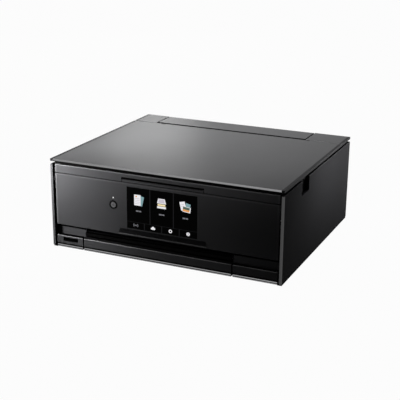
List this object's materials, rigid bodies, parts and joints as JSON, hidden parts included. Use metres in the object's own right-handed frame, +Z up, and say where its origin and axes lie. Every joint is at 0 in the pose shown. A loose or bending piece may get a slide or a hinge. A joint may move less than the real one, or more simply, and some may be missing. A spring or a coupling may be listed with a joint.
{
  "type": "inkjet printer",
  "caption": "Low, wide all-in-one inkjet printer with a flat scanner lid, slab sides, a tilting front touch panel, a front paper cassette and a rear feed flap.",
  "frame": {"origin": "on the table, under the middle of the printer", "axes": "+X to the viewer's right, -Y out of the front, +Z up"},
  "size_m": [0.372, 0.324, 0.14],
  "materials": {
    "lid_grey": "satin dark grey moulded plastic",
    "front_gloss": "glossy charcoal moulded plastic",
    "side_textured": "fine textured charcoal moulded plastic",
    "inner_black": "matt black moulded plastic",
    "screen_black": "glossy black touch screen",
    "lamp_lens": "clear lamp lens",
    "platen_glass": "clear flat glass",
    "backing_white": "matt white sheet",
    "steel": "plated steel",
    "rubber_black": "black rubber",
    "roller_grey": "grey coated roller",
    "gear_white": "white acetal",
    "board_green": "solder masked circuit board",
    "tank_black": "black ink tank",
    "film_clear": "clear film strip"
  },
  "bodies": {
    "base": {"bottom_case": "inner_black", "left_side_cover": "side_textured", "right_side_cover": "side_textured", "rear_cover": "side_textured", "rear_top_cover": "lid_grey", "card_slot_block": "front_gloss", "right_front_block": "front_gloss", "feet": "rubber_black", "case_screws": "steel", "hinge_rod": "steel", "main_chassis": "steel", "carriage_rail": "steel", "encoder_strip": "film_clear", "print_platen": "inner_black", "purge_base": "inner_black", "waste_ink_box": "inner_black", "power_supply": "inner_black", "mains_inlet": "inner_black", "main_board": "board_green", "usb_socket": "steel", "carriage_motor": "steel", "feed_motor": "steel", "drive_belt": "rubber_black", "pinch_holder": "inner_black", "rear_paper_guide": "inner_black"},
    "scanner_unit": {"scanner_base": "inner_black", "scanner_top_frame": "side_textured", "platen_glass": "platen_glass", "front_strip": "front_gloss", "scan_guide_rod": "steel"},
    "scan_carriage": {"scan_head": "inner_black"},
    "lid": {"document_cover": "lid_grey", "backing_plate": "backing_white"},
    "rear_flap": {"rear_tray_cover": "lid_grey"},
    "operation_panel": {"panel_front": "front_gloss", "panel_back": "inner_black", "display_module": "screen_black", "power_lamp": "lamp_lens"},
    "button": {"power_button": "front_gloss"},
    "cassette": {"cassette_tray": "inner_black", "cassette_front": "front_gloss"},
    "left_guide": {"cassette_guide_left": "inner_black"},
    "right_guide": {"cassette_guide_right": "inner_black"},
    "paper_output": {"output_tray": "inner_black"},
    "ink_carriage": {"carriage_body": "inner_black", "print_head": "inner_black", "ink_tanks": "tank_black"},
    "drive_pulley": {"motor_pulley": "gear_white"},
    "tension_pulley": {"idler_pulley": "gear_white"},
    "line_feed": {"feed_roller": "roller_grey", "feed_gear": "gear_white"},
    "paper_eject": {"eject_roller": "roller_grey", "eject_gear": "gear_white"},
    "idler": {"idler_gear": "gear_white"},
    "pinion": {"motor_pinion": "gear_white"},
    "pinch": {"pinch_rollers": "roller_grey"},
    "stars": {"star_wheels": "steel"},
    "pick_arm": {"pickup_arm": "inner_black"},
    "pick_wheel": {"pickup_roller": "rubber_black"},
    "cap": {"purge_cap": "rubber_black"}
  },
  "joints": [
    {"name": "scanner_lift", "type": "hinge", "parent": "base", "child": "scanner_unit", "pos_m": [0, 0.1093, 0.1382], "axis": [-1, 0, 0], "range_deg": [0, 28]},
    {"name": "lid_open", "type": "hinge", "parent": "scanner_unit", "child": "lid", "pos_m": [0, 0.1093, 0.1382], "axis": [-1, 0, 0], "range_deg": [0, 80]},
    {"name": "scan_travel", "type": "slide", "parent": "scanner_unit", "child": "scan_carriage", "axis": [1, 0, 0], "range_m": [0, 0.31]},
    {"name": "rear_flap_open", "type": "hinge", "parent": "base", "child": "rear_flap", "pos_m": [0, 0.1602, 0.1382], "axis": [-1, 0, 0], "range_deg": [0, 110]},
    {"name": "panel_tilt", "type": "hinge", "parent": "base", "child": "operation_panel", "pos_m": [0, -0.1583, 0.1159], "axis": [-1, 0, 0], "range_deg": [0, 45]},
    {"name": "power_press", "type": "slide", "parent": "operation_panel", "child": "button", "axis": [0, 1, 0], "range_m": [0, 0.0008], "stiffness_N_per_m": 500},
    {"name": "cassette_pull", "type": "slide", "parent": "base", "child": "cassette", "axis": [0, -1, 0], "range_m": [0, 0.25]},
    {"name": "left_guide_slide", "type": "slide", "parent": "cassette", "child": "left_guide", "axis": [1, 0, 0], "range_m": [0, 0.05]},
    {"name": "right_guide_slide", "type": "slide", "parent": "cassette", "child": "right_guide", "axis": [-1, 0, 0], "range_m": [0, 0.05]},
    {"name": "output_pull", "type": "slide", "parent": "base", "child": "paper_output", "axis": [0, -1, 0], "range_m": [0, 0.1]},
    {"name": "carriage_travel", "type": "slide", "parent": "base", "child": "ink_carriage", "axis": [-1, 0, 0], "range_m": [0, 0.25]},
    {"name": "drive_pulley_spin", "type": "hinge", "parent": "base", "child": "drive_pulley", "pos_m": [0.16, 0.034, 0.0936], "axis": [0, 1, 0], "continuous": true},
    {"name": "tension_pulley_spin", "type": "hinge", "parent": "base", "child": "tension_pulley", "pos_m": [-0.16, 0.034, 0.0936], "axis": [0, 1, 0], "continuous": true},
    {"name": "line_feed_spin", "type": "hinge", "parent": "base", "child": "line_feed", "pos_m": [0, 0.015, 0.0465], "axis": [1, 0, 0], "continuous": true},
    {"name": "eject_spin", "type": "hinge", "parent": "base", "child": "paper_eject", "pos_m": [0, -0.052, 0.0465], "axis": [1, 0, 0], "continuous": true},
    {"name": "idler_spin", "type": "hinge", "parent": "base", "child": "idler", "pos_m": [-0.1775, -0.02, 0.0465], "axis": [1, 0, 0], "continuous": true},
    {"name": "pinion_spin", "type": "hinge", "parent": "base", "child": "pinion", "pos_m": [-0.1775, 0.015, 0.021], "axis": [1, 0, 0], "continuous": true},
    {"name": "pinch_spin", "type": "hinge", "parent": "base", "child": "pinch", "pos_m": [0, 0.015, 0.0563], "axis": [1, 0, 0], "continuous": true},
    {"name": "star_spin", "type": "hinge", "parent": "base", "child": "stars", "pos_m": [0, -0.052, 0.0563], "axis": [1, 0, 0], "continuous": true},
    {"name": "pick_arm_swing", "type": "hinge", "parent": "base", "child": "pick_arm", "pos_m": [-0.0114, 0.058, 0.043], "axis": [1, 0, 0], "range_deg": [0, 12]},
    {"name": "pick_wheel_spin", "type": "hinge", "parent": "pick_arm", "child": "pick_wheel", "pos_m": [-0.0114, 0.096, 0.021], "axis": [1, 0, 0], "continuous": true},
    {"name": "cap_lower", "type": "slide", "parent": "base", "child": "cap", "axis": [0, 0, -1], "range_m": [0, 0.004]}
  ],
  "couplings": [
    {"joint": "right_guide_slide", "follows": "left_guide_slide", "ratio": 1},
    {"joint": "drive_pulley_spin", "follows": "carriage_travel", "rad_per_m": 181.82},
    {"joint": "tension_pulley_spin", "follows": "carriage_travel", "rad_per_m": 181.82},
    {"joint": "eject_spin", "follows": "line_feed_spin", "ratio": 1.2222},
    {"joint": "idler_spin", "follows": "line_feed_spin", "ratio": -0.89189},
    {"joint": "pinion_spin", "follows": "line_feed_spin", "ratio": -1.8333},
    {"joint": "pinch_spin", "follows": "line_feed_spin", "ratio": -1.375},
    {"joint": "star_spin", "follows": "line_feed_spin", "ratio": -1.1}
  ]
}
